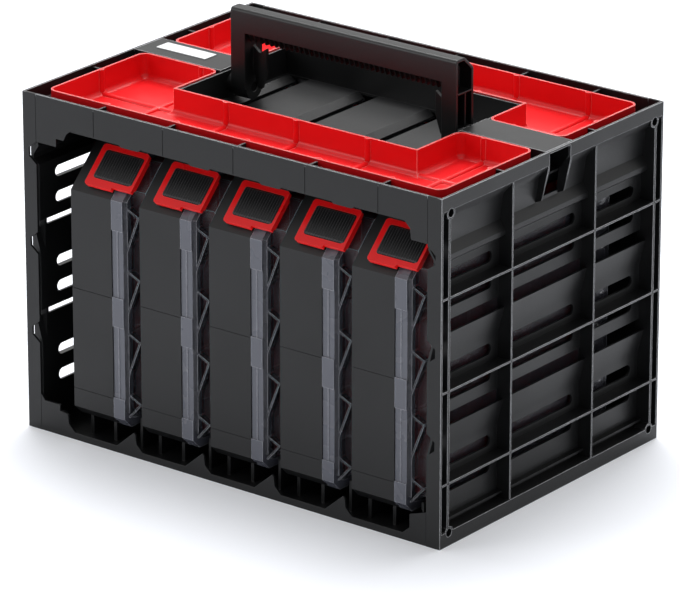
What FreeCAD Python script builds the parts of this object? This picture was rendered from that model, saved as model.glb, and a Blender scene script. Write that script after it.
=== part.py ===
"""Tool case organizer: a carrying rack that holds five small-parts cases on edge.

Two open trays lift out of its top, a blank label plate lies beside the folding carry handle.
Millimetres. X runs to the right, Y to the back and Z up. The origin is the middle of the
footprint, on the surface that the rack stands on.
"""
import FreeCAD, Part
import math
import os

V = FreeCAD.Vector

# Rack, overall
WALL = 2.0
SEAT_GAP = 0.3
FIT = 0.05
FREE_WIDTH = 33.0
RIGHT_CLEARANCE = 3.2
FRONT_SETBACK = 3.0
REAR_SPACE = 38.0
HEADROOM = 12.0
TRAY_DEPTH = 23.5

# Cases: shell
CASE_COUNT = 5
CASE_GAP = 0.5
CASE_DEPTH = 249.0
CASE_HEIGHT = 230.0
CASE_BOTTOM_Z = 20.0
RUNNER_GAP = 0.3
BASE_THICKNESS = 41.0
FLANGE_TOP = 52.5
SHOULDER_TOP = 57.0
LID_TOP = 69.8
CASE_WALL = 2.0
TOP_CHAMFER = 38.0
LOW_CHAMFER = 8.0
LID_INSET = 9.0
LID_LOW_CHAMFER = 6.0
SHOULDER_INSET = 1.0
FLANGE_WIDE_HEIGHT = 25.0
FLANGE_WIDE_RISE = 98.2
FLANGE_RIDGE_X = 46.3
FLANGE_RIDGE_WIDTH = 1.2
PARTING_GAP = 0.2
SEAM_RISES = (24.0, 109.5)
SEAM_WIDTH = 0.8
SEAM_DEPTH = 0.5
TRUSS_THICKNESS = 1.5
TRUSS_COUNT = 4
TRUSS_TOP_DROP = 42.4
TRUSS_FOOT_RISE = 11.1
TRUSS_TIP_DROP = 5.6
TRUSS_HEIGHT = 36.0
LAST_TRUSS_HEIGHT = 19.0

# Cases: hinge along the bottom
HINGE_RADIUS = 3.0
HINGE_PIN_DIAMETER = 3.0
HINGE_PIN_MARGIN = 45.0
HINGE_KNUCKLES = 5
KNUCKLE_GAP = 0.3

# Cases: latches
LATCH_X0 = 13.5
LATCH_X1 = 60.2
LATCH_FOOT_DROP = 30.0
LATCH_LENGTH = 37.5
LATCH_THICKNESS = 3.5
LATCH_CORNER = 3.0
LATCH_LEFT_BAR = 5.0
LATCH_RIGHT_BAR = 2.8
LATCH_LOW_BAR = 7.0
LATCH_TOP_BAR = 4.5
LATCH_NOTCH = 2.5
PAD_THICKNESS = 2.6
PAD_SINK = 0.6
PAD_GROOVES = 12
PAD_GROOVE_WIDTH = 1.2
PAD_GROOVE_DEPTH = 0.5
BARREL_RADIUS = 1.8
BARREL_INSET = 2.1
BARREL_MARGIN = 4.0
BARREL_ROOM = 0.8
BARREL_WEB = 2.0
TRUNNION_RADIUS = 1.0
TRUNNION_LENGTH = 2.2
EAR_WALL = 0.6
SEAT_WALL = 1.5
CATCH_WIDTH = 3.5
CATCH_OVERHANG = 1.0
CATCH_MARGIN = 6.0
HOOK_WIDTH = 1.6
HOOK_LENGTH = 1.9

# Cases: bins
BIN_ROWS = 3
BIN_COLUMNS = 3
BIN_GAP = 1.0
BIN_WALL = 1.2
BIN_CORNER = 4.0
BIN_MARGIN = 1.2
BIN_LID_GAP = 3.5
BIN_CORNER_ROOM = 36.0

# Side walls
SHEET_DEPTH = 12.5
BAND_HEIGHT = 11.5
SLOPE_HEIGHT = 48.0
POST_WIDTH = 13.3
ROW_COUNT = 3
ROW_PITCH = 75.9
RIB_THICKNESS = 1.6
UPRIGHT_RIB_Y = 54.3
FLANGE_MARGIN = 11.4
FLANGE_THICKNESS = 2.4
WAVE_CREST_OUT = 5.6
WAVE_CREST_RISES = (4.0, 8.0)
WAVE_VALLEY_OUT = 0.4
WAVE_VALLEY_DROP = 32.5
WAVE_BROW_OUT = 3.6
WAVE_BROW_DROP = 11.0
LIP_ABOVE_RIB = 22.4
LIP_BELOW_RIB = 25.1
LOUVRE_LIP_RISE = 20.8
SLOT_HEIGHT = 9.4
SLOT_ABOVE_RIB = 6.4
SLOT_BELOW_RIB = 5.8
SLOT_END_MARGIN = 10.0
BASE_BAND_HEIGHT = 12.0
BASE_LEDGE_Z = 18.5
BASE_LEDGE_DEPTH = 5.0
KEYHOLE_ABOVE_RIB = 32.3
KEYHOLE_HEIGHT = 18.8
KEYHOLE_FLAT = 7.0
KEYHOLE_DEPTH = 7.6
NOTCH_FRONT = 11.6
NOTCH_REAR = 16.0
NOTCH_DROP = 41.0
NOTCH_RIB_OUT = 6.1
NOTCH_RIB_TOP_DROP = 2.6

# Corner screws and their bosses
SCREW_MARGIN = 11.7
SCREW_TOP_DROP = 14.0
SCREW_BOTTOM_Z = 11.0
SCREW_DIAMETER = 3.0
SCREW_HEAD_DIAMETER = 6.4
SCREW_HEAD_HEIGHT = 3.0
SCREW_DRIVE_DIAMETER = 2.0
SCREW_LENGTH = 14.0
BOSS_DIAMETER = 10.0
BOSS_BORE = 7.0
BOSS_DEPTH = 11.5
SCREW_SEAT = 2.0
NUT_BOSS_DIAMETER = 7.0

# Base panel
FLOOR_THICKNESS = 2.2
RUNNER_WIDTH = 3.0
RUNNER_OFFSETS = (7.0, 31.0)
RUNNER_FRONT_MARGIN = 12.0
GUIDE_MARGIN = 1.5
GUIDE_WIDTH = 2.5
GUIDE_CLEARANCE = 1.0
RAIL_LOW_Z = 5.8
RAIL_TIP_Z = 21.0
RAIL_REAR_Z = 12.0
RAIL_EDGE_DROP = 1.5
RAIL_CORNER_Z = 11.7
RAIL_NOTCH_FOOT = 2.5
RAIL_NOTCH_EDGE = 3.8
RAIL_TIP_OUT = 4.8
RAIL_TIP_WIDTH = 1.6
RAIL_RAMP_START = 46.2
RAIL_END_CLEARANCE = 1.4
RAIL_END_BEVEL = 6.9
RAIL_END_Z = 22.8
RAIL_LEFT_END = 12.9
RAIL_LEFT_Z = 26.2
RAIL_POST_RISE = 5.0
RAIL_POST_RUN = 4.0

# Top panel
BAY_LINE_OFFSET = 27.1
APRON_EDGE_DROP = 0.3
APRON_TAB_DROP = 2.6
APRON_TAB_START = 54.7
APRON_TAB_END = 72.2
APRON_TAB_BEVEL = 3.0
APRON_LEFT_OFFSETS = (-12.1, -4.2, -1.5, 3.2)
APRON_LEFT_DROPS = (16.5, 9.7, 4.0)
APRON_RIGHT_OFFSETS = (-5.5, 0.4, 1.6)
APRON_RIGHT_DROPS = (6.0, 15.0)
APRON_GROOVE = 0.4
CHANNEL_RIB = 1.5
CHANNEL_RIB_DROP = 2.0
SIDE_RIB_Y = 60.0
STRIP_FRONT = 13.5
STRIP_REAR = 21.5
WELL_LENGTH = 238.0
WELL_CENTRE_X = 3.5
WELL_FRONT = 68.5
COLLAR = 1.6
COLLAR_DROP = 1.5
PLATE_OFFSET = 1.9
PLATE_WIDTH = 49.3
PLATE_SLOPE_WIDTH = 7.0
PLATE_SLOPE_DROP = 4.5

# Label plate
LABEL_MARGIN = 14.0
LABEL_LENGTH = 51.0
LABEL_WIDTH = 15.0
LABEL_THICKNESS = 0.5
LABEL_CORNER = 1.0

# Trays
SIDE_CHANNEL = 12.5
FRONT_CHANNEL = 15.5
TRAY_WALL = 1.6
TRAY_TOP_DROP = 0.3
TRAY_FILLET = 5.4
TRAY_CORNER = 8.0
TRAY_RIB_RADIUS = 3.0
TRAY_RIB_SINK = 0.6
TRAY_END_GAP = 0.5

# Carry handle
HANDLE_LEFT_ROOM = 9.3
HANDLE_RIGHT_ROOM = 4.5
HANDLE_ARM = 67.3
HANDLE_PIVOT_Y = 4.0
HANDLE_FOOT_GAP = 0.7
HANDLE_BACK_GAP = 2.7
HANDLE_FRONT = 12.0
HANDLE_REAR = 10.5
HANDLE_LEG_WIDTH = 14.5
HANDLE_SHELL = 2.5
HANDLE_TOP_RADIUS = 3.0
HANDLE_REAR_DROP = 10.5
HANDLE_SLOPE_START = 11.0
GRIP_SKIRT_DROP = 20.0
GRIP_FIN_DROP = 27.5
FIN_THICKNESS = 1.4
FIN_PITCH = 5.0
FIN_INSET = 1.2
FIN_TOE = 5.0
LEG_RIB_DROP = 29.5
LEG_RIB = 1.6
GUSSET_WIDTH = 13.5
GUSSET_THICKNESS = 3.0
GUSSET_TOP_DROP = 32.5
GUSSET_NOTCH = 5.0
GUSSET_BEVEL = 5.0
GUSSET_TIP = 15.0
PIN_DIAMETER = 8.0
PIN_BOSS_DIAMETER = 17.0

# Rear wall
REAR_RIB_DEPTH = 5.0
REAR_SLOT_WIDTH = 30.0
REAR_SLOT_OFFSET = 19.0
REAR_SLOT_HEIGHT = 14.0
REAR_SLOT_ROWS = 5
REAR_SLOT_LOW_MARGIN = 28.4
REAR_SLOT_TOP_MARGIN = 66.4

# Sizes worked out from those above
CASE_PITCH = LID_TOP + CASE_GAP
CASES_WIDTH = (CASE_COUNT - 1) * CASE_PITCH + LID_TOP
WIDTH = POST_WIDTH + FREE_WIDTH + CASES_WIDTH + RIGHT_CLEARANCE + WALL + SHEET_DEPTH
DEPTH = FRONT_SETBACK + CASE_DEPTH + REAR_SPACE
CASE_TOP_Z = CASE_BOTTOM_Z + CASE_HEIGHT
DECK_TOP_Z = CASE_TOP_Z + HEADROOM
DECK_Z = DECK_TOP_Z - WALL
HEIGHT = DECK_TOP_Z + TRAY_DEPTH
HALF_W = WIDTH / 2
HALF_D = DEPTH / 2
BAND_FOOT_Z = HEIGHT - BAND_HEIGHT
SLOPE_FOOT_Z = BAND_FOOT_Z - SLOPE_HEIGHT
TOP_RIB_Z = SLOPE_FOOT_Z - LIP_ABOVE_RIB
SLOPE = SHEET_DEPTH / SLOPE_HEIGHT
SHEET_X = HALF_W - SHEET_DEPTH
INNER_X = SHEET_X - WALL
POST_X = HALF_W - POST_WIDTH
PANEL_X = POST_X - SEAT_GAP
FLANGE_Y = HALF_D - FLANGE_MARGIN
SCREW_Y = HALF_D - SCREW_MARGIN
SCREW_TOP_Z = HEIGHT - SCREW_TOP_DROP
FIRST_CASE_X = -POST_X + FREE_WIDTH
LAST_SHOULDER_X = FIRST_CASE_X + CASES_WIDTH - LID_TOP + SHOULDER_TOP
CASE_FRONT_Y = -HALF_D + FRONT_SETBACK
CASE_REAR_Y = CASE_FRONT_Y + CASE_DEPTH
CASE_MID_Y = (CASE_FRONT_Y + CASE_REAR_Y) / 2
CORNER_LINE = CASE_TOP_Z - TOP_CHAMFER - CASE_FRONT_Y
LATCH_FOOT_Z = CASE_TOP_Z - LATCH_FOOT_DROP
SURFACE_DROP = (TOP_CHAMFER - LATCH_FOOT_DROP) / math.sqrt(2)
BARREL_SINK = LATCH_THICKNESS + BARREL_RADIUS + 2 * FIT
CATCH_X1 = SHOULDER_TOP + CATCH_OVERHANG
TRUSS_SPAN = CASE_HEIGHT - TRUSS_TOP_DROP - TRUSS_FOOT_RISE - LAST_TRUSS_HEIGHT
TRUSS_PITCH = TRUSS_SPAN / (TRUSS_COUNT - 1)
BIN_TOP = FLANGE_TOP - BIN_LID_GAP
TRAY_X = HALF_W - SIDE_CHANNEL
TRAY_Y = HALF_D - FRONT_CHANNEL
TRAY_BOTTOM_Z = DECK_TOP_Z + SEAT_GAP
TRAY_TOP_Z = HEIGHT - TRAY_TOP_DROP
TRAY_FLOOR_Z = TRAY_BOTTOM_Z + TRAY_WALL
WELL_X0 = WELL_CENTRE_X - WELL_LENGTH / 2
WELL_X1 = WELL_CENTRE_X + WELL_LENGTH / 2
WELL_Y0 = HANDLE_PIVOT_Y - WELL_FRONT
WELL_Y1 = HANDLE_PIVOT_Y + HANDLE_ARM + HANDLE_BACK_GAP
STRIP_Y0 = HANDLE_PIVOT_Y - STRIP_FRONT
STRIP_Y1 = HANDLE_PIVOT_Y + STRIP_REAR
HANDLE_X0 = WELL_X0 + HANDLE_LEFT_ROOM
HANDLE_X1 = WELL_X1 - HANDLE_RIGHT_ROOM
HANDLE_PIVOT_Z = DECK_TOP_Z + HANDLE_REAR + HANDLE_FOOT_GAP
HANDLE_TOP_Z = HANDLE_PIVOT_Z + HANDLE_ARM
GRIP_SKIRT_Z = HANDLE_TOP_Z - GRIP_SKIRT_DROP


def box(x0, x1, y0, y1, z0, z1):
    return Part.makeBox(x1 - x0, y1 - y0, z1 - z0, V(x0, y0, z0))


def prism(points, run):
    return Part.Face(Part.makePolygon(points + points[:1])).extrude(run)


def prism_xz(points, y0, y1):
    return prism([V(x, y0, z) for x, z in points], V(0, y1 - y0, 0))


def prism_yz(points, x0, x1):
    return prism([V(x0, y, z) for y, z in points], V(x1 - x0, 0, 0))


def rod_x(radius, x0, x1, y, z):
    return Part.makeCylinder(radius, x1 - x0, V(x0, y, z), V(1, 0, 0))


def rod_y(radius, y0, y1, x, z):
    return Part.makeCylinder(radius, y1 - y0, V(x, y0, z), V(0, 1, 0))


def rod_z(radius, z0, z1, x, y):
    return Part.makeCylinder(radius, z1 - z0, V(x, y, z0), V(0, 0, 1))


def join(shapes):
    return shapes[0].multiFuse(shapes[1:]).removeSplitter()


def cut_all(body, tools):
    return body.cut(Part.makeCompound(tools))


def mirror_x(shape):
    return shape.mirror(V(0, 0, 0), V(1, 0, 0))


def inset(points, depth):
    """Moves every side of a convex outline, given anticlockwise, inward by depth."""
    lines = []
    for (ax, ay), (bx, by) in zip(points, points[1:] + points[:1]):
        length = math.hypot(bx - ax, by - ay)
        nx, ny = -(by - ay) / length, (bx - ax) / length
        lines.append((nx, ny, nx * ax + ny * ay + depth))
    moved = []
    for (a, b, c), (d, e, f) in zip(lines[-1:] + lines[:-1], lines):
        det = a * e - b * d
        moved.append(((c * e - b * f) / det, (a * f - c * d) / det))
    return moved


def slot_x(x0, x1, y0, y1, z0, z1):
    """A slot with round ends that runs along Y and is cut through along X."""
    r = (z1 - z0) / 2
    zc = (z0 + z1) / 2
    ends = [rod_x(r, x0, x1, y, zc) for y in (y0 + r, y1 - r)]
    return join([box(x0, x1, y0 + r, y1 - r, z0, z1)] + ends)


def slot_y(y0, y1, x0, x1, z0, z1):
    """A slot with round ends that runs along X and is cut through along Y."""
    r = (z1 - z0) / 2
    zc = (z0 + z1) / 2
    ends = [rod_y(r, y0, y1, x, zc) for x in (x0 + r, x1 - r)]
    return join([box(x0 + r, x1 - r, y0, y1, z0, z1)] + ends)


def rounded_box(x0, x1, y0, y1, z0, z1, radius):
    """A box whose four upright edges are rounded."""
    solid = box(x0, x1, y0, y1, z0, z1)
    upright = [e for e in solid.Edges if abs(e.tangentAt(e.FirstParameter).z) > 0.9]
    return solid.makeFillet(radius, upright)


def rib_heights():
    return [TOP_RIB_Z - row * ROW_PITCH for row in range(ROW_COUNT)]


def upper_wave(depth):
    """The waved sheet from its valley up to the band, at a depth below its face."""
    line = [(WAVE_VALLEY_OUT, WAVE_VALLEY_DROP), (WAVE_BROW_OUT, WAVE_BROW_DROP), (SHEET_DEPTH, 0)]
    return [(SHEET_X + out - depth, BAND_FOOT_Z - drop) for out, drop in line]


def wave_line(depth):
    """The top row's waved sheet, from its upright part up to the band, at a depth below its face."""
    line = [(0, 0)] + [(WAVE_CREST_OUT, rise) for rise in WAVE_CREST_RISES]
    return [(SHEET_X + out - depth, SLOPE_FOOT_Z + rise) for out, rise in line] + upper_wave(depth)


def wave_x(z, depth):
    """Where the waved sheet lies at a height, at a depth below its face."""
    line = wave_line(depth)
    for (x0, z0), (x1, z1) in zip(line, line[1:]):
        if z0 <= z <= z1:
            return x0 + (x1 - x0) * (z - z0) / (z1 - z0)
    return HALF_W - depth


def sheet_section(rib_z):
    """Section of one row's sheet: upright behind its rib, then outward to its lip or the band."""
    low = rib_z - LIP_BELOW_RIB
    if rib_z == rib_heights()[-1]:
        low = 0.0
    if rib_z == TOP_RIB_Z:
        return [(SHEET_X, low)] + wave_line(0) + wave_line(WALL)[::-1] + [(INNER_X, low)]
    foot = rib_z + LIP_ABOVE_RIB
    out = SLOPE * LOUVRE_LIP_RISE
    tip = foot + LOUVRE_LIP_RISE
    return [(SHEET_X, low), (SHEET_X, foot), (SHEET_X + out, tip),
            (INNER_X + out, tip), (INNER_X, foot), (INNER_X, low)]


def wall_rib(y0, thickness):
    """An upright rib between the sheet and the outer plane of a side wall."""
    inner = INNER_X + WALL / 2
    section = [(inner, 0), (HALF_W, 0), (HALF_W, BAND_FOOT_Z)] + wave_line(WALL / 2)[::-1]
    return prism_xz(section, y0, y0 + thickness)


def post_strip():
    """The flat front strip of a side wall, with its keyhole notches."""
    strip = box(POST_X, HALF_W, -HALF_D, -HALF_D + WALL, 0, HEIGHT)
    notches = []
    for rib_z in rib_heights():
        z = rib_z + KEYHOLE_ABOVE_RIB
        half, flat = KEYHOLE_HEIGHT / 2, KEYHOLE_FLAT / 2
        points = [(POST_X - 1, z - half), (POST_X, z - half), (POST_X + KEYHOLE_DEPTH, z - flat),
                  (POST_X + KEYHOLE_DEPTH, z + flat), (POST_X, z + half), (POST_X - 1, z + half)]
        notches.append(prism_xz(points, -HALF_D - 1, -HALF_D + WALL + 1))
    return cut_all(strip, notches)


def screw_places():
    return [(y, z) for y in (-SCREW_Y, SCREW_Y) for z in (SCREW_BOTTOM_Z, SCREW_TOP_Z)]


def right_side_wall():
    strip = post_strip()
    pieces = [strip, strip.mirror(V(0, 0, 0), V(0, 1, 0))]
    pieces.append(box(HALF_W - WALL, HALF_W, -HALF_D, HALF_D, BAND_FOOT_Z, HEIGHT))
    pieces.append(box(SHEET_X - WALL / 2, HALF_W, -HALF_D, HALF_D, 0, WALL))
    pieces.append(box(HALF_W - WALL, HALF_W, -HALF_D, HALF_D, 0, BASE_BAND_HEIGHT))
    pieces.append(box(SHEET_X, SHEET_X + BASE_LEDGE_DEPTH, -FLANGE_Y, FLANGE_Y,
                      BASE_LEDGE_Z - WALL, BASE_LEDGE_Z))
    pieces.append(box(SHEET_X, HALF_W, -HALF_D, HALF_D, BASE_BAND_HEIGHT - WALL, BASE_BAND_HEIGHT))
    for rib_z in rib_heights():
        pieces.append(prism_xz(sheet_section(rib_z), -HALF_D + WALL, HALF_D - WALL))
        pieces.append(box(SHEET_X, HALF_W, -HALF_D, HALF_D,
                          rib_z - RIB_THICKNESS / 2, rib_z + RIB_THICKNESS / 2))
    for y in (-UPRIGHT_RIB_Y, UPRIGHT_RIB_Y):
        pieces.append(wall_rib(y - RIB_THICKNESS / 2, RIB_THICKNESS))
    pieces.append(wall_rib(-FLANGE_Y - FLANGE_THICKNESS, FLANGE_THICKNESS))
    pieces.append(wall_rib(FLANGE_Y, FLANGE_THICKNESS))
    fin = [(HALF_W, BAND_FOOT_Z), (HALF_W, BAND_FOOT_Z - NOTCH_RIB_TOP_DROP),
           (SHEET_X + NOTCH_RIB_OUT, HEIGHT - NOTCH_DROP)] + upper_wave(WALL / 2)
    notch_y0, notch_y1 = HANDLE_PIVOT_Y - NOTCH_FRONT, HANDLE_PIVOT_Y + NOTCH_REAR
    for y in (notch_y0 - RIB_THICKNESS, notch_y1):
        pieces.append(prism_xz(fin, y, y + RIB_THICKNESS))
    for y, z in screw_places():
        pieces.append(rod_x(BOSS_DIAMETER / 2, HALF_W - BOSS_DEPTH, HALF_W, y, z))
    wall = join(pieces)
    tools = [box(INNER_X - 1, HALF_W + 1, notch_y0, notch_y1, HEIGHT - NOTCH_DROP, HEIGHT - WALL)]
    for y, z in screw_places():
        tools.append(rod_x(BOSS_BORE / 2, HALF_W - BOSS_DEPTH + SCREW_SEAT, HALF_W + 1, y, z))
        tools.append(rod_x(SCREW_DIAMETER / 2 + FIT, INNER_X - 1, HALF_W, y, z))
    bays = [-FLANGE_Y, -UPRIGHT_RIB_Y, UPRIGHT_RIB_Y, FLANGE_Y]
    for rib_z in rib_heights():
        for y0, y1 in zip(bays, bays[1:]):
            for z0 in (rib_z + SLOT_ABOVE_RIB, rib_z - SLOT_BELOW_RIB - SLOT_HEIGHT):
                tools.append(slot_x(INNER_X - 1, SHEET_X + 1, y0 + SLOT_END_MARGIN,
                                    y1 - SLOT_END_MARGIN, z0, z0 + SLOT_HEIGHT))
    return cut_all(wall, tools)


def front_rail():
    """The front rail of the base, cut low below each case so that it can be gripped."""
    step_x = LAST_SHOULDER_X + RAIL_END_CLEARANCE
    left_x = FIRST_CASE_X - RAIL_LEFT_END
    outline = [(-PANEL_X, 0), (PANEL_X, 0), (PANEL_X, RAIL_END_Z + RAIL_POST_RISE), (step_x, RAIL_END_Z),
               (step_x, RAIL_CORNER_Z), (step_x - RAIL_END_BEVEL, RAIL_LOW_Z)]
    for bay in reversed(range(CASE_COUNT)):
        x = case_x(bay)
        if bay < CASE_COUNT - 1:
            outline.append((x + RAIL_RAMP_START, RAIL_LOW_Z))
        outline += [(x + RAIL_NOTCH_FOOT, RAIL_LOW_Z), (x - RAIL_NOTCH_EDGE, RAIL_CORNER_Z),
                    (x - RAIL_TIP_OUT, RAIL_TIP_Z - RAIL_EDGE_DROP)]
        if bay:
            outline.append((x - RAIL_TIP_OUT - RAIL_TIP_WIDTH, RAIL_TIP_Z))
    outline += [(left_x, RAIL_TIP_Z), (left_x, RAIL_LEFT_Z), (-PANEL_X + RAIL_POST_RUN, RAIL_LEFT_Z),
                (-PANEL_X, RAIL_LEFT_Z + RAIL_POST_RISE)]
    return prism_xz(outline, -HALF_D, -HALF_D + WALL)


def case_x(index):
    return FIRST_CASE_X + index * CASE_PITCH


def base_panel():
    pieces = [front_rail()]
    pieces.append(box(-PANEL_X, PANEL_X, HALF_D - WALL, HALF_D, 0, RAIL_REAR_Z))
    plate_x = INNER_X - SEAT_GAP
    pieces.append(box(-plate_x, plate_x, -HALF_D + WALL / 2, HALF_D - WALL / 2, 0, FLOOR_THICKNESS))
    runner_y0 = CASE_FRONT_Y + RUNNER_FRONT_MARGIN
    runner_top = CASE_BOTTOM_Z - RUNNER_GAP
    for index in range(CASE_COUNT):
        x = case_x(index)
        for offset in RUNNER_OFFSETS:
            pieces.append(box(x + offset, x + offset + RUNNER_WIDTH, runner_y0, CASE_REAR_Y,
                              FLOOR_THICKNESS / 2, runner_top))
        guide_x = x + SHOULDER_TOP + GUIDE_MARGIN
        guide_top = CASE_BOTTOM_Z + LID_INSET - GUIDE_CLEARANCE
        pieces.append(box(guide_x, guide_x + GUIDE_WIDTH, runner_y0, CASE_REAR_Y,
                          FLOOR_THICKNESS / 2, guide_top))
    tools = []
    for side in (-1, 1):
        for y in (-SCREW_Y, SCREW_Y):
            r = NUT_BOSS_DIAMETER / 2
            x0, x1 = sorted((side * plate_x, side * (plate_x - SCREW_LENGTH)))
            pieces.append(box(x0, x1, y - r, y + r, FLOOR_THICKNESS / 2, SCREW_BOTTOM_Z + r))
            tools.append(rod_x(SCREW_DIAMETER / 2 + FIT, x0 - 1, x1 + 1, y, SCREW_BOTTOM_Z))
    return cut_all(join(pieces), tools)


def front_apron():
    """The apron above the cases, with a small tab over each joint between two cases."""
    edge, tab = DECK_TOP_Z - APRON_EDGE_DROP, DECK_TOP_Z - APRON_TAB_DROP
    left = [FIRST_CASE_X + x for x in APRON_LEFT_OFFSETS]
    low, step, bevel = [DECK_TOP_Z - drop for drop in APRON_LEFT_DROPS]
    outline = [(-PANEL_X, HEIGHT), (-PANEL_X, low), (left[0], low), (left[0], step),
               (left[1], step), (left[2], bevel), (left[3], edge)]
    for bay in range(CASE_COUNT - 1):
        x0, x1 = case_x(bay) + APRON_TAB_START, case_x(bay) + APRON_TAB_END
        outline += [(x0 - APRON_TAB_BEVEL, edge), (x0, tab), (x1, tab), (x1 + APRON_TAB_BEVEL, edge)]
    right = [LAST_SHOULDER_X + x for x in APRON_RIGHT_OFFSETS]
    bevel, low = [DECK_TOP_Z - drop for drop in APRON_RIGHT_DROPS]
    outline += [(right[0], edge), (right[1], bevel), (right[2], low), (PANEL_X, low), (PANEL_X, HEIGHT)]
    apron = prism_xz(outline, -HALF_D, -HALF_D + WALL)
    grooves = []
    for x in bay_line_xs():
        grooves.append(box(x - APRON_GROOVE, x + APRON_GROOVE, -HALF_D - 1, -HALF_D + APRON_GROOVE,
                           edge - BAND_HEIGHT, HEIGHT - WALL))
    return cut_all(apron, grooves)


def bay_line_xs():
    return [case_x(bay) + BAY_LINE_OFFSET for bay in range(CASE_COUNT)]


def deck_edge_x():
    """Half width of the deck, just clear of the waved sheets beside it."""
    return wave_x(DECK_Z, WALL) - 2 * SEAT_GAP


def side_rib_section(x_in):
    """Outline of what spans the channel between a tray and the side wall's band."""
    band_x = HALF_W - WALL - SEAT_GAP
    brow_z = BAND_FOOT_Z - WAVE_BROW_DROP
    brow_x = wave_x(brow_z, WALL) - 2 * SEAT_GAP
    return [(x_in, DECK_Z), (deck_edge_x(), DECK_Z), (brow_x, brow_z), (band_x, BAND_FOOT_Z + 1.0),
            (band_x, HEIGHT), (x_in, HEIGHT)]


def strip_bridge(x_end, side):
    """The flat bridge between the trays on one side, hollow from its outer end."""
    outer = prism_xz([(x * side, z) for x, z in side_rib_section(x_end)], STRIP_Y0, STRIP_Y1)
    x0, x1 = sorted(((x_end + WALL) * side, HALF_W * side))
    room = box(x0, x1, STRIP_Y0 + WALL, STRIP_Y1 - WALL, DECK_TOP_Z, HEIGHT - WALL)
    return outer.cut(room)


def well_plates():
    """Folded plates of the well's floor: a slope and a slot follow each flat part."""
    slopes, slots = [], []
    y0, y1 = WELL_Y0 + COLLAR + 1.0, WELL_Y1 - COLLAR - 1.0
    for index in range(CASE_COUNT - 1):
        x = case_x(index) + PLATE_OFFSET + PLATE_WIDTH
        x_slope = x + PLATE_SLOPE_WIDTH
        x_next = x + CASE_PITCH - PLATE_WIDTH
        slots.append(box(x, min(x_next, WELL_X1 - COLLAR), y0, y1, DECK_Z - 1, DECK_TOP_Z + 1))
        low = DECK_TOP_Z - PLATE_SLOPE_DROP
        slopes.append(prism_xz([(x, DECK_Z), (x_slope, low - WALL), (x_slope, low), (x, DECK_TOP_Z)],
                               y0 - 0.5, y1 + 0.5))
    return slopes, slots


def top_panel():
    half_y = HALF_D - WALL
    deck_x = deck_edge_x()
    slopes, slots = well_plates()
    deck = cut_all(box(-deck_x, deck_x, -half_y, half_y, DECK_Z, DECK_TOP_Z), slots)
    rear_apron = box(-PANEL_X, PANEL_X, half_y, HALF_D, DECK_TOP_Z - APRON_TAB_DROP, HEIGHT)
    pieces = [deck, front_apron(), rear_apron] + slopes
    rib_top = HEIGHT - CHANNEL_RIB_DROP
    for x in bay_line_xs():
        for y0, y1 in ((-half_y, -TRAY_Y - SEAT_GAP), (TRAY_Y + SEAT_GAP, half_y)):
            pieces.append(box(x - CHANNEL_RIB / 2, x + CHANNEL_RIB / 2, y0, y1, DECK_Z, rib_top))
    for side in (-1, 1):
        section = [(x * side, min(z, rib_top)) for x, z in side_rib_section(TRAY_X + SEAT_GAP)]
        for y in (-SIDE_RIB_Y, SIDE_RIB_Y):
            pieces.append(prism_xz(section, y - CHANNEL_RIB / 2, y + CHANNEL_RIB / 2))
    collar_top = HEIGHT - COLLAR_DROP
    x0, x1 = WELL_X0 + SEAT_GAP, WELL_X1 - SEAT_GAP
    y0, y1 = WELL_Y0 + SEAT_GAP, WELL_Y1 - SEAT_GAP
    collar = box(x0, x1, y0, y1, DECK_Z, collar_top)
    pieces.append(collar.cut(box(x0 + COLLAR, x1 - COLLAR, y0 + COLLAR, y1 - COLLAR, 0, HEIGHT)))
    pieces += [strip_bridge(-WELL_X0, -1), strip_bridge(WELL_X1, 1)]
    boss_r = PIN_BOSS_DIAMETER / 2
    pieces.append(rod_x(boss_r, WELL_X0, HANDLE_X0 - SEAT_GAP, HANDLE_PIVOT_Y, HANDLE_PIVOT_Z))
    pieces.append(rod_x(boss_r, HANDLE_X1 + SEAT_GAP, WELL_X1, HANDLE_PIVOT_Y, HANDLE_PIVOT_Z))
    tools = []
    r = NUT_BOSS_DIAMETER / 2
    nut_x = HALF_W - BOSS_DEPTH - SEAT_GAP
    for side in (-1, 1):
        x_pin = sorted((side * HALF_W, 0))
        tools.append(rod_x(PIN_DIAMETER / 2, x_pin[0], x_pin[1], HANDLE_PIVOT_Y, HANDLE_PIVOT_Z))
        for y in (-SCREW_Y, SCREW_Y):
            xa, xb = sorted((side * nut_x, side * (nut_x - SCREW_LENGTH)))
            pieces.append(rod_x(r, xa, xb, y, SCREW_TOP_Z))
            pieces.append(box(xa, xb, y - r, y + r, DECK_Z, SCREW_TOP_Z))
            tools.append(rod_x(SCREW_DIAMETER / 2 + FIT, xa - 1, xb + 1, y, SCREW_TOP_Z))
    return cut_all(join(pieces), tools)


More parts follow.
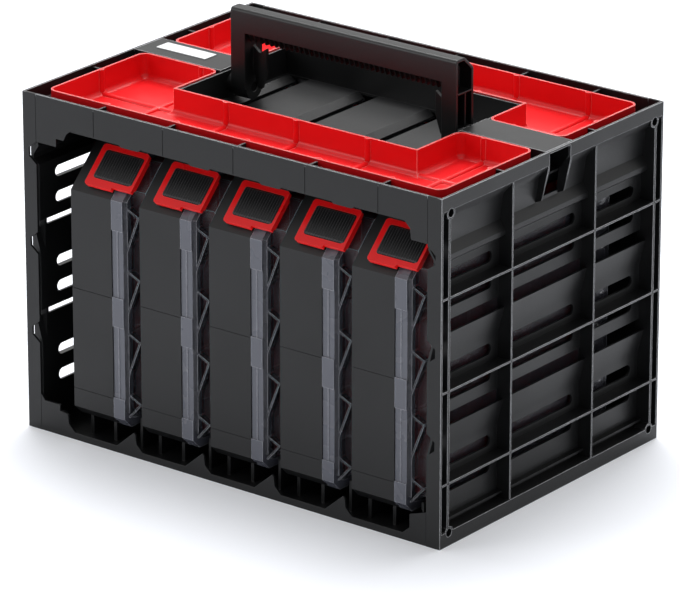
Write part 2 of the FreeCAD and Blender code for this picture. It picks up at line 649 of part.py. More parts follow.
def tray(y_out, y_in, y_arm):
    """A C-shaped tray; y_out is its outer side, y_in the well side and y_arm the arms' end."""
    y0, y1 = sorted((y_out, y_in))
    a0, a1 = sorted((y_out, y_arm))
    x_left, x_right = WELL_X0 - SEAT_GAP, WELL_X1 + SEAT_GAP
    w = TRAY_WALL

    def body(shrink, z0, z1, radius):
        parts = []
        areas = ((-TRAY_X, TRAY_X, y0, y1), (-TRAY_X, x_left, a0, a1), (x_right, TRAY_X, a0, a1))
        for xa, xb, ya, yb in areas:
            parts.append(rounded_box(xa + shrink, xb - shrink, ya + shrink, yb - shrink, z0, z1, radius))
        return join(parts)

    outer = body(0, TRAY_BOTTOM_Z, TRAY_TOP_Z, TRAY_CORNER)
    room = body(w, TRAY_FLOOR_Z, TRAY_TOP_Z + TRAY_DEPTH, TRAY_CORNER - w)
    floor_edges = [e for e in room.Edges
                   if max(abs(v.Z - TRAY_FLOOR_Z) for v in e.Vertexes) < 0.01]
    room = room.makeFillet(TRAY_FILLET, floor_edges)
    shell = outer.cut(room)
    r = TRAY_RIB_RADIUS
    z = TRAY_FLOOR_Z - TRAY_RIB_SINK
    ribs = []
    for x in bay_line_xs():
        ribs.append(rod_y(r, y0 + w / 2, y1 - w / 2, x, z))
        ribs.append(rod_z(r, z, TRAY_TOP_Z, x, y_out - math.copysign(w / 2, y_out)))
        if x_left < x < x_right:
            ribs.append(rod_z(r, z, TRAY_TOP_Z, x, y_in + math.copysign(w / 2, y_out)))
        else:
            ribs.append(rod_y(r, a0 + w / 2, a1 - w / 2, x, z))
            ribs.append(rod_z(r, z, TRAY_TOP_Z, x, y_arm - math.copysign(SEAT_GAP, y_out)))
    ribs.append(rod_x(r, -TRAY_X + w / 2, x_left - w / 2, y_in, z))
    ribs.append(rod_x(r, x_right + w / 2, TRAY_X - w / 2, y_in, z))
    for x in (-TRAY_X + w / 2, TRAY_X - w / 2):
        ribs.append(rod_z(r, z, TRAY_TOP_Z, x, y_in))
    keep = outer.common(join(ribs))
    return join([shell, keep])


def handle_section():
    """Outline of the grip across its length: flat front, top sloping down to the rear."""
    front = HANDLE_PIVOT_Y - HANDLE_FRONT
    rear = HANDLE_PIVOT_Y + HANDLE_REAR
    return [(front, GRIP_SKIRT_Z), (rear, GRIP_SKIRT_Z), (rear, HANDLE_TOP_Z - HANDLE_REAR_DROP),
            (front + HANDLE_SLOPE_START, HANDLE_TOP_Z), (front, HANDLE_TOP_Z)]


def carry_handle():
    front = HANDLE_PIVOT_Y - HANDLE_FRONT
    rear = HANDLE_PIVOT_Y + HANDLE_REAR
    section = handle_section()
    grip = prism_yz(section, HANDLE_X0, HANDLE_X1)
    long_edges = [e for e in grip.Edges if e.BoundBox.XLength > 1 and e.BoundBox.ZMin > GRIP_SKIRT_Z + 1]
    grip = grip.makeFillet(HANDLE_TOP_RADIUS, long_edges)
    inner_x0 = HANDLE_X0 + HANDLE_LEG_WIDTH
    inner_x1 = HANDLE_X1 - HANDLE_LEG_WIDTH
    room = prism_yz(inset(section, HANDLE_SHELL), inner_x0, inner_x1)
    below = box(inner_x0, inner_x1, front + HANDLE_SHELL, rear - HANDLE_SHELL,
                GRIP_SKIRT_Z - 1, GRIP_SKIRT_Z + HANDLE_SHELL + 1)
    pieces = [cut_all(grip, [room, below])]
    fin_count = int((inner_x1 - inner_x0) / FIN_PITCH)
    first = (inner_x0 + inner_x1 - (fin_count - 1) * FIN_PITCH) / 2
    fin_z = HANDLE_TOP_Z - GRIP_FIN_DROP
    inner = inset(section, FIN_INSET)
    fin = [(front + FIN_TOE, fin_z), (rear - FIN_TOE, fin_z)] + inner[1:] + inner[:1]
    for index in range(fin_count):
        x = first + index * FIN_PITCH
        pieces.append(prism_yz(fin, x - FIN_THICKNESS / 2, x + FIN_THICKNESS / 2))
    rooms = [leg_room(HANDLE_X0 - 1, inner_x0 - HANDLE_SHELL),
             leg_room(inner_x1 + HANDLE_SHELL, HANDLE_X1 + 1)]
    for x0, gusset_x in ((HANDLE_X0, inner_x0), (inner_x1, inner_x1 - GUSSET_WIDTH)):
        x1 = x0 + HANDLE_LEG_WIDTH
        pieces.append(box(x0, x1, front, rear, HANDLE_PIVOT_Z, GRIP_SKIRT_Z + 1))
        pieces.append(rod_x(HANDLE_REAR, x0, x1, HANDLE_PIVOT_Y, HANDLE_PIVOT_Z))
        pieces.append(gusset(gusset_x))
    handle = cut_all(join(pieces), rooms)
    bore = rod_x(PIN_DIAMETER / 2 + FIT, HANDLE_X0 - 1, inner_x0, HANDLE_PIVOT_Y, HANDLE_PIVOT_Z)
    bore_right = rod_x(PIN_DIAMETER / 2 + FIT, inner_x1, HANDLE_X1 + 1, HANDLE_PIVOT_Y, HANDLE_PIVOT_Z)
    return cut_all(handle, [bore, bore_right])


def leg_room(x0, x1):
    """The hollow of a leg, open to its outer side, with a web across and one up the middle below it."""
    front, rear = HANDLE_PIVOT_Y - HANDLE_FRONT, HANDLE_PIVOT_Y + HANDLE_REAR
    rib_z = HANDLE_TOP_Z - LEG_RIB_DROP
    head = prism_yz(inset(handle_section(), HANDLE_SHELL), x0, x1)
    shaft = box(x0, x1, front + HANDLE_SHELL, rear - HANDLE_SHELL, HANDLE_PIVOT_Z + HANDLE_REAR,
                GRIP_SKIRT_Z + 2 * HANDLE_SHELL)
    web_up = box(x0, x1, HANDLE_PIVOT_Y - LEG_RIB / 2, HANDLE_PIVOT_Y + LEG_RIB / 2, 0, rib_z)
    web_across = box(x0, x1, front, rear, rib_z, rib_z + LEG_RIB)
    return cut_all(join([head, shaft]), [web_up, web_across])


def gusset(x0):
    """The stiffener on the inner side of a leg, with a notched top and a narrow tip."""
    half = GUSSET_THICKNESS / 2
    y0, y1 = HANDLE_PIVOT_Y - half, HANDLE_PIVOT_Y + half
    x1 = x0 + GUSSET_WIDTH
    mid = (x0 + x1) / 2
    foot, top = HANDLE_PIVOT_Z, HANDLE_TOP_Z - GUSSET_TOP_DROP
    points = [(x0, foot + GUSSET_TIP), (x0 + GUSSET_BEVEL, foot), (x1 - GUSSET_BEVEL, foot),
              (x1, foot + GUSSET_TIP), (x1, top), (mid, top - GUSSET_NOTCH), (x0, top)]
    return prism_xz(points, y0, y1)


def handle_pins():
    reach = HANDLE_LEG_WIDTH - HANDLE_SHELL / 2
    r = PIN_DIAMETER / 2
    left = rod_x(r, WELL_X0 - WALL, HANDLE_X0 + reach, HANDLE_PIVOT_Y, HANDLE_PIVOT_Z)
    right = rod_x(r, HANDLE_X1 - reach, WELL_X1 + WALL, HANDLE_PIVOT_Y, HANDLE_PIVOT_Z)
    return Part.makeCompound([left, right])


def corner_screws():
    screws = []
    for side in (-1, 1):
        for y, z in screw_places():
            seat = HALF_W - BOSS_DEPTH + SCREW_SEAT
            head = rod_x(SCREW_HEAD_DIAMETER / 2, seat, seat + SCREW_HEAD_HEIGHT, y, z)
            shank = rod_x(SCREW_DIAMETER / 2, seat - SCREW_LENGTH, seat, y, z)
            drive = rod_x(SCREW_DRIVE_DIAMETER / 2, seat + SCREW_HEAD_HEIGHT / 2, HALF_W, y, z)
            screw = join([head, shank]).cut(drive)
            screws.append(screw if side > 0 else mirror_x(screw))
    return Part.makeCompound(screws)


def blank_label_plate():
    x = LABEL_MARGIN - HALF_W
    return rounded_box(x, x + LABEL_LENGTH, HANDLE_PIVOT_Y, HANDLE_PIVOT_Y + LABEL_WIDTH,
                       HEIGHT, HEIGHT + LABEL_THICKNESS, LABEL_CORNER)


def rear_wall():
    low, high = RAIL_REAR_Z + SEAT_GAP, DECK_TOP_Z - APRON_TAB_DROP - SEAT_GAP
    plate = box(-PANEL_X, PANEL_X, HALF_D - WALL, HALF_D, low, high)
    pieces = [plate]
    tools = []
    for index in range(CASE_COUNT + 1):
        x = FIRST_CASE_X + index * CASE_PITCH
        pieces.append(box(x - WALL / 2, x + WALL / 2, HALF_D - WALL - REAR_RIB_DEPTH, HALF_D - WALL / 2,
                          low, high))
    first_z, last_z = low + REAR_SLOT_LOW_MARGIN, high - REAR_SLOT_TOP_MARGIN
    for row in range(REAR_SLOT_ROWS):
        z = first_z + row * (last_z - first_z) / (REAR_SLOT_ROWS - 1)
        for index in range(CASE_COUNT):
            x = case_x(index) + REAR_SLOT_OFFSET
            half_x, half_z = REAR_SLOT_WIDTH / 2, REAR_SLOT_HEIGHT / 2
            tools.append(slot_y(HALF_D - WALL - 1, HALF_D + 1, x - half_x, x + half_x,
                                z - half_z, z + half_z))
    return cut_all(join(pieces), tools)


def outline(front, rear, low, high, low_chamfer):
    """Side outline of a shell whose upper corners lie on the case's sloping corner planes."""
    middle = 2 * CASE_MID_Y
    return [(front + low_chamfer, low), (rear - low_chamfer, low), (rear, low + low_chamfer),
            (rear, CORNER_LINE + middle - rear), (middle - (high - CORNER_LINE), high),
            (high - CORNER_LINE, high), (front, CORNER_LINE + front), (front, low + low_chamfer)]


def case_outline():
    return outline(CASE_FRONT_Y, CASE_REAR_Y, CASE_BOTTOM_Z, CASE_TOP_Z, LOW_CHAMFER)


def lid_outline(inset_front):
    return outline(CASE_FRONT_Y + inset_front, CASE_REAR_Y - inset_front, CASE_BOTTOM_Z + LID_INSET,
                   CASE_TOP_Z - LID_INSET, LID_LOW_CHAMFER)


def on_slope(shape):
    """Turns a shape built flat (X across, Y up the slope, Z outward) onto the front corner."""
    placed = shape.copy()
    placed.rotate(V(0, 0, 0), V(1, 0, 0), 45)
    placed.translate(V(0, CASE_FRONT_Y, LATCH_FOOT_Z))
    return placed


def at_rear(shape):
    """The same piece on the rear corner of a case."""
    return shape.mirror(V(0, CASE_MID_Y, 0), V(0, 1, 0))


def hinge_axis():
    return BASE_THICKNESS + PARTING_GAP / 2, CASE_BOTTOM_Z + HINGE_RADIUS


def knuckles(grow):
    """Alternate knuckles of the hinge: those of the base first, then those of the lid."""
    x, z = hinge_axis()
    y0, y1 = CASE_FRONT_Y + HINGE_PIN_MARGIN, CASE_REAR_Y - HINGE_PIN_MARGIN
    step = (y1 - y0) / HINGE_KNUCKLES
    groups = ([], [])
    for index in range(HINGE_KNUCKLES):
        a = y0 + index * step + KNUCKLE_GAP / 2 - grow
        b = y0 + (index + 1) * step - KNUCKLE_GAP / 2 + grow
        groups[index % 2].append(rod_y(HINGE_RADIUS + grow, a, b, x, z))
    return groups


def hinge_pin():
    x, z = hinge_axis()
    return rod_y(HINGE_PIN_DIAMETER / 2, CASE_FRONT_Y + HINGE_PIN_MARGIN,
                 CASE_REAR_Y - HINGE_PIN_MARGIN, x, z)


def pin_bore():
    x, z = hinge_axis()
    return rod_y(HINGE_PIN_DIAMETER / 2 + FIT, CASE_FRONT_Y, CASE_REAR_Y, x, z)


def latch_seat():
    """The thickened seat in the base that the latch's barrel turns in, and its cuts."""
    x = LATCH_X0 + BARREL_INSET
    half = BARREL_RADIUS + BARREL_ROOM
    block = box(x - half - SEAT_WALL, x + half + SEAT_WALL, 0, LATCH_LENGTH,
                -BARREL_SINK - half - SEAT_WALL, -SURFACE_DROP - CASE_WALL / 2)
    groove = box(x - half, x + half, BARREL_MARGIN - KNUCKLE_GAP, LATCH_LENGTH - BARREL_MARGIN + KNUCKLE_GAP,
                 -BARREL_SINK - half, 0)
    ear_r = TRUNNION_RADIUS + EAR_WALL
    a0, a1 = BARREL_MARGIN - TRUNNION_LENGTH - EAR_WALL, BARREL_MARGIN - KNUCKLE_GAP
    ear = join([rod_y(ear_r, a0, a1, x, -BARREL_SINK),
                box(x - ear_r, x + ear_r, a0, a1, -SURFACE_DROP - CASE_WALL / 2, -BARREL_SINK)])
    far_ear = ear.mirror(V(0, LATCH_LENGTH / 2, 0), V(0, 1, 0))
    hole = rod_y(TRUNNION_RADIUS + FIT, BARREL_MARGIN - TRUNNION_LENGTH - FIT,
                 LATCH_LENGTH - BARREL_MARGIN + TRUNNION_LENGTH + FIT, x, -BARREL_SINK)
    solids = [on_slope(block.cut(groove)), on_slope(ear), on_slope(far_ear)]
    return solids, [on_slope(groove), on_slope(hole)]


def case_base():
    side = case_outline()
    room = prism_yz(inset(side, CASE_WALL), CASE_WALL, BASE_THICKNESS + 1)
    shell = prism_yz(side, 0, BASE_THICKNESS).cut(room)
    seats, cuts = latch_seat()
    grooves = [cuts[0], at_rear(cuts[0])]
    holes = [cuts[1], at_rear(cuts[1])]
    seats += [at_rear(s) for s in seats]
    own, other = knuckles(0)[0], knuckles(KNUCKLE_GAP)[1]
    for z in [CASE_BOTTOM_Z + rise for rise in SEAM_RISES]:
        grooves.append(box(-1, BASE_THICKNESS + 1, CASE_FRONT_Y - 1, CASE_FRONT_Y + SEAM_DEPTH,
                           z - SEAM_WIDTH / 2, z + SEAM_WIDTH / 2))
    solid = join([cut_all(shell, grooves)] + seats + own)
    hinge_top = CASE_BOTTOM_Z + 2 * HINGE_RADIUS
    lid_side = box(BASE_THICKNESS, LID_TOP, CASE_FRONT_Y, CASE_REAR_Y, hinge_top, CASE_TOP_Z)
    return cut_all(solid, holes + other + [pin_bore(), lid_side])


def lid_catch():
    rail = box(CATCH_X1 - CATCH_WIDTH, CATCH_X1, CATCH_MARGIN, LATCH_LENGTH - CATCH_MARGIN,
               -SURFACE_DROP - CASE_WALL / 2, -LATCH_THICKNESS - SEAT_GAP)
    return on_slope(rail)


def truss_bar(x0, z0, x1, z1, y0, y1):
    """A thin bar between two points of the lid's front, as a slab along Y."""
    length = math.hypot(x1 - x0, z1 - z0)
    nx = -(z1 - z0) / length * TRUSS_THICKNESS / 2
    nz = (x1 - x0) / length * TRUSS_THICKNESS / 2
    points = [(x0 - nx, z0 - nz), (x1 - nx, z1 - nz), (x1 + nx, z1 + nz), (x0 + nx, z0 + nz)]
    return prism_xz(points, y0, y1)


def lid_trusses():
    bars = []
    y0, y1 = CASE_FRONT_Y + SHOULDER_INSET, CASE_FRONT_Y + LID_INSET + CASE_WALL / 2
    x_in, x_out = SHOULDER_TOP - TRUSS_THICKNESS / 2, LID_TOP - TRUSS_THICKNESS
    for index in range(TRUSS_COUNT):
        top = CASE_TOP_Z - TRUSS_TOP_DROP - index * TRUSS_PITCH
        tip = top - TRUSS_TIP_DROP
        foot = top - TRUSS_HEIGHT
        if index == TRUSS_COUNT - 1:
            foot = top - LAST_TRUSS_HEIGHT
        bars.append(truss_bar(x_in, top, x_out, tip, y0, y1))
        bars.append(truss_bar(x_out, tip, x_in, foot, y0, y1))
    return bars


def flange_ring(side, x0, x1):
    return prism_yz(side, x0, x1).cut(prism_yz(inset(case_outline(), CASE_WALL), x0 - 1, x1 + 1))


def case_lid():
    x0 = BASE_THICKNESS + PARTING_GAP
    narrow = flange_ring(inset(case_outline(), SHOULDER_INSET), x0, FLANGE_TOP)
    wide = flange_ring(case_outline(), x0, FLANGE_TOP)
    ridge = flange_ring(inset(case_outline(), SHOULDER_INSET / 2), FLANGE_RIDGE_X,
                        FLANGE_RIDGE_X + FLANGE_RIDGE_WIDTH)
    bands = []
    half = FLANGE_WIDE_HEIGHT / 2
    mid_z = CASE_BOTTOM_Z + FLANGE_WIDE_RISE
    y_out = CASE_DEPTH
    for z0, z1 in ((CASE_BOTTOM_Z, CASE_BOTTOM_Z + FLANGE_WIDE_HEIGHT), (mid_z - half, mid_z + half),
                   (CASE_TOP_Z - TOP_CHAMFER - FLANGE_WIDE_HEIGHT, CASE_TOP_Z)):
        bands.append(wide.common(box(x0, FLANGE_TOP, -y_out, y_out, z0, z1)))
    inner = inset(lid_outline(LID_INSET), CASE_WALL)
    shoulder = prism_yz(lid_outline(SHOULDER_INSET), FLANGE_TOP - CASE_WALL, SHOULDER_TOP)
    body = prism_yz(lid_outline(LID_INSET), FLANGE_TOP, LID_TOP)
    plate = prism_yz(inset(case_outline(), SHOULDER_INSET), FLANGE_TOP - CASE_WALL, FLANGE_TOP)
    shell = join([plate, shoulder, body]).cut(prism_yz(inner, 0, LID_TOP - CASE_WALL))
    catches = [lid_catch(), at_rear(lid_catch())]
    own, other = knuckles(0)[1], knuckles(KNUCKLE_GAP)[0]
    lid = join([narrow, ridge, shell] + bands + catches + lid_trusses() + own)
    base_side = box(0, x0, CASE_FRONT_Y, CASE_REAR_Y, HINGE_RADIUS * 2 + CASE_BOTTOM_Z, CASE_TOP_Z)
    return cut_all(lid, other + [pin_bore(), base_side])


def latch_frame():
    a1 = LATCH_LENGTH
    plate = rounded_box(LATCH_X0, LATCH_X1, 0, a1, -LATCH_THICKNESS, 0, LATCH_CORNER)
    window = rounded_box(LATCH_X0 + LATCH_LEFT_BAR, LATCH_X1 - LATCH_RIGHT_BAR, LATCH_LOW_BAR,
                         a1 - LATCH_TOP_BAR, -LATCH_THICKNESS - 1, 1, LATCH_CORNER)
    notch = box(BASE_THICKNESS, LATCH_X1 + 1, -1, LATCH_NOTCH, -LATCH_THICKNESS - 1, 1)
    x = LATCH_X0 + BARREL_INSET
    barrel = rod_y(BARREL_RADIUS, BARREL_MARGIN, a1 - BARREL_MARGIN, x, -BARREL_SINK)
    trunnion_y = BARREL_MARGIN - TRUNNION_LENGTH
    trunnion = rod_y(TRUNNION_RADIUS, trunnion_y, a1 - trunnion_y, x, -BARREL_SINK)
    into = -LATCH_THICKNESS / 2
    web = box(x - BARREL_WEB / 2, x + BARREL_WEB / 2, BARREL_MARGIN, a1 - BARREL_MARGIN, -BARREL_SINK, into)
    hook_x = CATCH_X1 + SEAT_GAP
    hook = box(hook_x, hook_x + HOOK_WIDTH, CATCH_MARGIN, a1 - CATCH_MARGIN,
               -LATCH_THICKNESS - HOOK_LENGTH, into)
    frame = join([cut_all(plate, [window, notch]), barrel, trunnion, web, hook])
    return on_slope(frame)


def latch_pad():
    x0, x1 = LATCH_X0 + LATCH_LEFT_BAR, LATCH_X1 - LATCH_RIGHT_BAR
    a0, a1 = LATCH_LOW_BAR, LATCH_LENGTH - LATCH_TOP_BAR
    pad = rounded_box(x0 + FIT, x1 - FIT, a0 + FIT, a1 - FIT, -PAD_THICKNESS - PAD_SINK, -PAD_SINK,
                      LATCH_CORNER - FIT)
    pitch = (x1 - x0) / (PAD_GROOVES + 1)
    grooves = []
    for index in range(PAD_GROOVES):
        x = x0 + (index + 1) * pitch
        grooves.append(box(x - PAD_GROOVE_WIDTH / 2, x + PAD_GROOVE_WIDTH / 2, a0 - 1, a1 + 1,
                           -PAD_SINK - PAD_GROOVE_DEPTH, 0))
    return on_slope(cut_all(pad, grooves))


def bin_cup(y0, y1, z0, z1):
    """An open cup that faces the lid."""
    def block(a, b, shrink):
        solid = box(a, b, y0 + shrink, y1 - shrink, z0 + shrink, z1 - shrink)
        long = [e for e in solid.Edges if abs(e.tangentAt(e.FirstParameter).x) > 0.9]
        return solid.makeFillet(BIN_CORNER - shrink, long)
    floor = CASE_WALL + SEAT_GAP
    return block(floor, BIN_TOP, 0).cut(block(floor + BIN_WALL, BIN_TOP + 1, BIN_WALL))


def case_bins():
    """Rows of bins; the top row is shorter, between the two sloping corners."""
    z0 = CASE_BOTTOM_Z + 2 * HINGE_RADIUS + BIN_MARGIN
    z1 = CASE_TOP_Z - CASE_WALL - BIN_MARGIN
    height = (z1 - z0 - (BIN_ROWS - 1) * BIN_GAP) / BIN_ROWS
    cups = []
    for row in range(BIN_ROWS):
        shrink = CASE_WALL + BIN_MARGIN
        if row == BIN_ROWS - 1:
            shrink += BIN_CORNER_ROOM
        y0, y1 = CASE_FRONT_Y + shrink, CASE_REAR_Y - shrink
        width = (y1 - y0 - (BIN_COLUMNS - 1) * BIN_GAP) / BIN_COLUMNS
        low = z0 + row * (height + BIN_GAP)
        for column in range(BIN_COLUMNS):
            y = y0 + column * (width + BIN_GAP)
            cups.append(bin_cup(y, y + width, low, low + height))
    return Part.makeCompound(cups)


def save(name, shape):
    shape.exportStep(f"parts/{name}.step")
    solids = shape.Solids
    valid = all(s.isValid() for s in solids)
    print(f"{name}: {len(solids)} solid(s), {sum(s.Volume for s in solids) / 1000:.1f} cm3, valid {valid}")


def main():
    os.makedirs("parts", exist_ok=True)
    wall = right_side_wall()
    save("right_side_wall", wall)
    save("left_side_wall", mirror_x(wall))
    save("base_panel", base_panel())
    save("top_panel", top_panel())
    save("rear_wall", rear_wall())
    save("front_parts_tray", tray(-TRAY_Y, WELL_Y0 - SEAT_GAP, STRIP_Y0 - TRAY_END_GAP))
    save("rear_parts_tray", tray(TRAY_Y, WELL_Y1 + SEAT_GAP, STRIP_Y1 + TRAY_END_GAP))
    save("carry_handle", carry_handle())
    save("handle_pins", handle_pins())
    save("blank_label_plate", blank_label_plate())
    save("corner_screws", corner_screws())
    pieces = {"base": case_base(), "lid": case_lid(), "hinge_pin": hinge_pin(), "bins": case_bins(),
              "front_latch": latch_frame(), "front_latch_pad": latch_pad()}
    pieces["rear_latch"] = at_rear(pieces["front_latch"])
    pieces["rear_latch_pad"] = at_rear(pieces["front_latch_pad"])
    for index in range(CASE_COUNT):
        for part, shape in pieces.items():
            save(f"case_{index + 1}_{part}", shape.translated(V(case_x(index), 0, 0)))


main()
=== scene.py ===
"""Looks of the tool case organizer: finishes, rounded edges, ribbed pads, light and camera."""

import math

import bmesh
import bpy
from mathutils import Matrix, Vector


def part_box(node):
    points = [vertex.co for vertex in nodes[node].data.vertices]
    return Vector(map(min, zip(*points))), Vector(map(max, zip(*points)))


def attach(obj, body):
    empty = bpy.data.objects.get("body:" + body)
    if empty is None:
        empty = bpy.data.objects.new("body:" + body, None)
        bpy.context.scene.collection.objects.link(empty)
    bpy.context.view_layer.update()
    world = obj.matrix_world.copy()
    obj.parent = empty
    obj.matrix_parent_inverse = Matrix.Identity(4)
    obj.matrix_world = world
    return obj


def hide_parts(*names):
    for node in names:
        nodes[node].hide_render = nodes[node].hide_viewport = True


MM = 0.001

# Camera of the photograph, worked out from the corners of the rack
PHOTO_WIDTH_PX = 680
FOCAL_PX = 5612.9
SENSOR_MM = 36.0
AZIMUTH = 37.904
ELEVATION = 20.794
CAMERA_DISTANCE = 4.4851
TARGET = Vector((-0.0021, 0.0, 0.1121))
CLIP_END = 100

# Softboxes: name, place, aim, width and height in metres, and watts
SOFTBOXES = (
    ("overhead", (-0.45, 0.7, 2.45), (0, 0, 0.2), (1.9, 1.8), 92),
    ("left_front", (-1.8, -2.4, 1.3), (0, 0, 0.15), (1.2, 1.4), 18),
    ("right", (2.4, 0.2, 1.6), (0, 0, 0.15), (1.0, 1.2), 4),
)
WHITE = (1, 1, 1, 1)
WORLD_FILL = 0.41
FLOOR_GLOW = 0.18
FLOOR_HALF_SIZE = 6
FLOOR_STEPS = 8

# Cases and latches, in millimetres as in the model
CASE_COUNT = 5
FLANGE_END = 52.55
SLOPE_FOOT_Z = 220.0
DIAGONAL = math.sqrt(0.5)

# Ribbed pads on a latch's flat drawing: x across the latch, a up its slope, b outward
PAD_X0 = 18.6
PAD_X1 = 58.1
PAD_A0 = 7.1
PAD_A1 = 32.9
PAD_TOP = 0.3
PAD_BOTTOM = -3.1
PAD_RIBS = 16
PAD_RIB_HEIGHT = 1.2
PAD_STEPS_PER_RIB = 6
PAD_CROWN = 0.9
# How far the pad's top drops at its left and right side, and over which width
PAD_SIDE_DROP = 0.8
PAD_SIDE_WIDTH = 1.5
# A rib's rounded end: distance from the pad's end, depth below its top, share of the rib's height
PAD_SHOULDER = ((0.0, 1.2, 0.0), (0.7, 0.5, 0.0), (1.6, 0.3, 1.0))

# Faces that meet at less than the sharp angle, in degrees, are smoothed; other edges are rounded
SHARP_ANGLE = 32
WELD_DISTANCE = 0.00001
# Pieces of the rack and of each case: finish, width of the rounding in millimetres, steps round it
RACK_DRESS = {
    "left_side_wall": ("wall", 0.35, 2),
    "right_side_wall": ("wall", 0.35, 2),
    "top_panel": ("top", 0.35, 2),
    "base_panel": ("rack", 0.35, 2),
    "rear_wall": ("rack", 0.35, 2),
    "carry_handle": ("grip", 0.6, 3),
    "front_parts_tray": ("tray", 0.5, 3),
    "rear_parts_tray": ("tray", 0.5, 3),
    "handle_pins": ("black_steel", 0.4, 2),
    "corner_screws": ("black_steel", 0.2, 2),
    "blank_label_plate": ("label", 0.15, 2),
}
CASE_DRESS = {
    "base": ("case", 0.8, 3),
    "lid": ("lid", 0.3, 2),
    "hinge_pin": ("steel", 0, 0),
    "bins": ("bin", 0.3, 2),
    "front_latch": ("latch", 0.7, 3),
    "rear_latch": ("latch", 0.7, 3),
}

# Linear colours
BLACK_PLASTIC = (0.0045, 0.0047, 0.0051)
CASE_BLACK = (0.0042, 0.0043, 0.0047)
PAD_BLACK = (0.010, 0.010, 0.0105)
# painted highlight on the pad's rib crests and outer edges
PAD_CREST_HIGHLIGHT = (0.10, 0.10, 0.105)
TRAY_RED = (0.67, 0.007, 0.010)
LATCH_RED = (0.92, 0.006, 0.008)
# painted highlight on the latches' outer edges
LATCH_EDGE_HIGHLIGHT = (1.0, 0.14, 0.11)
BIN_RED = (0.60, 0.025, 0.025)
# painted highlight on the outer edges of the trays and bins
RED_EDGE_HIGHLIGHT = (1.0, 0.78, 0.75)
FLANGE_GREY = (0.092, 0.096, 0.118)
SMOKE = (0.030, 0.030, 0.038)
# painted highlight on the lids' outer edges
LID_EDGE_HIGHLIGHT = (0.50, 0.51, 0.56)
LABEL_GREY = (0.66, 0.67, 0.68)
STEEL = (0.55, 0.56, 0.58)
BLACK_STEEL = (0.02, 0.02, 0.021)
# painted highlights on outer rims: bright on the wall and top rims, dim on the other black
# plastics
RIM_LIGHT = (0.62, 0.63, 0.65)
DIM_RIM_HIGHLIGHT = (0.035, 0.036, 0.039)
FLOOR_WHITE = (0.84, 0.86, 0.91)

# Noise as scale and detail, and how far it moves a colour
NOISE_MIDDLE = (0.3, 0.7)
GRAIN_DETAIL = 3
CLOUD = (14, 4)
CLOUD_SPREAD = 0.1
LID_CLOUD = (30, 3)
FLANGE_SPREAD = 0.08
SMOKE_SPREAD = 0.15
STEEL_CLOUD = (300, 4)
FLOOR_CLOUD = (3, 2)
FLOOR_SPREAD = 0.01

# Gloss: a plastic's roughness varies about its own value, the others lie between two values
PLASTIC_IOR = 1.39
SMOOTHER = 0.05
ROUGHER = 0.06
LID_ROUGHNESS = (0.2, 0.32)
STEEL_ROUGHNESS = (0.25, 0.45)

# Bumps of the lids and the steel, in metres
LID_BUMP = 0.0002
LID_BUMP_STRENGTH = 0.3
STEEL_BUMP = 0.00004

# Painted highlights on outer edges: cosines between which a rim gets the painted highlight, and
# how much of the near space is open there
EDGE_TURN = (0.985, 0.90)
EDGE_OPEN = (0.6, 0.95)
EDGE_REACH = 0.002
EDGE_SAMPLES = 4
LID_EDGE_RADIUS = 0.0006
# Painted rim highlights set in between two distances from the origin: outward on the walls, up on
# the top
WALL_HIGHLIGHT_ZONE = ("X", 0.203, 0.206)
TOP_HIGHLIGHT_ZONE = ("Z", 0.2825, 0.2845)

# A lid's shell lets light through, less so where it faces its neighbour on the right
SHELL_ALPHA = 0.38
FROST_ALPHA = 0.66
# Whole pitches that keep a place along the row of cases above zero
SHIFT_PITCHES = 10

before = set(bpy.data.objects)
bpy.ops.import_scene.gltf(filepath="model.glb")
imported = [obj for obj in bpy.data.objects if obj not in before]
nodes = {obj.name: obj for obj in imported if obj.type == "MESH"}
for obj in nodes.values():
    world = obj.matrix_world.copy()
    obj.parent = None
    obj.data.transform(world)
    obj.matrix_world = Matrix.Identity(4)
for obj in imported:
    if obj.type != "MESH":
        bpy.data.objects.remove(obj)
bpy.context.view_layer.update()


def node_tree(name):
    """A new material with its shader and object coordinates ready."""
    material = bpy.data.materials.new(name)
    material.use_nodes = True
    tree = material.node_tree
    shader = tree.nodes["Principled BSDF"]
    coords = tree.nodes.new("ShaderNodeTexCoord")
    return material, tree, shader, coords.outputs["Object"]


def feed(tree, value, socket):
    """Links another node's output to a socket, or writes a plain value into it."""
    if isinstance(value, bpy.types.NodeSocket):
        tree.links.new(value, socket)
    else:
        socket.default_value = value


def calculate(tree, operation, *values):
    node = tree.nodes.new("ShaderNodeMath")
    node.operation = operation
    for value, socket in zip(values, node.inputs):
        feed(tree, value, socket)
    return node.outputs["Value"]


def map_range(tree, value, source=(0.0, 1.0), result=(0.0, 1.0)):
    node = tree.nodes.new("ShaderNodeMapRange")
    for name, number in zip(("From Min", "From Max", "To Min", "To Max"), (*source, *result)):
        node.inputs[name].default_value = number
    tree.links.new(value, node.inputs["Value"])
    return node.outputs["Result"]


def component(tree, vector, axis):
    split = tree.nodes.new("ShaderNodeSeparateXYZ")
    tree.links.new(vector, split.inputs[0])
    return split.outputs[axis]


def noise(tree, vector, scale, detail):
    texture = tree.nodes.new("ShaderNodeTexNoise")
    texture.inputs["Scale"].default_value = scale
    texture.inputs["Detail"].default_value = detail
    tree.links.new(vector, texture.inputs["Vector"])
    return texture.outputs["Fac"]


def spread_noise(tree, value, result):
    """Maps a noise's middle range to the two values given."""
    return map_range(tree, value, NOISE_MIDDLE, result)


def bump(tree, shader, height, distance, strength=1.0):
    node = tree.nodes.new("ShaderNodeBump")
    node.inputs["Distance"].default_value = distance
    node.inputs["Strength"].default_value = strength
    tree.links.new(height, node.inputs["Height"])
    tree.links.new(node.outputs["Normal"], shader.inputs["Normal"])


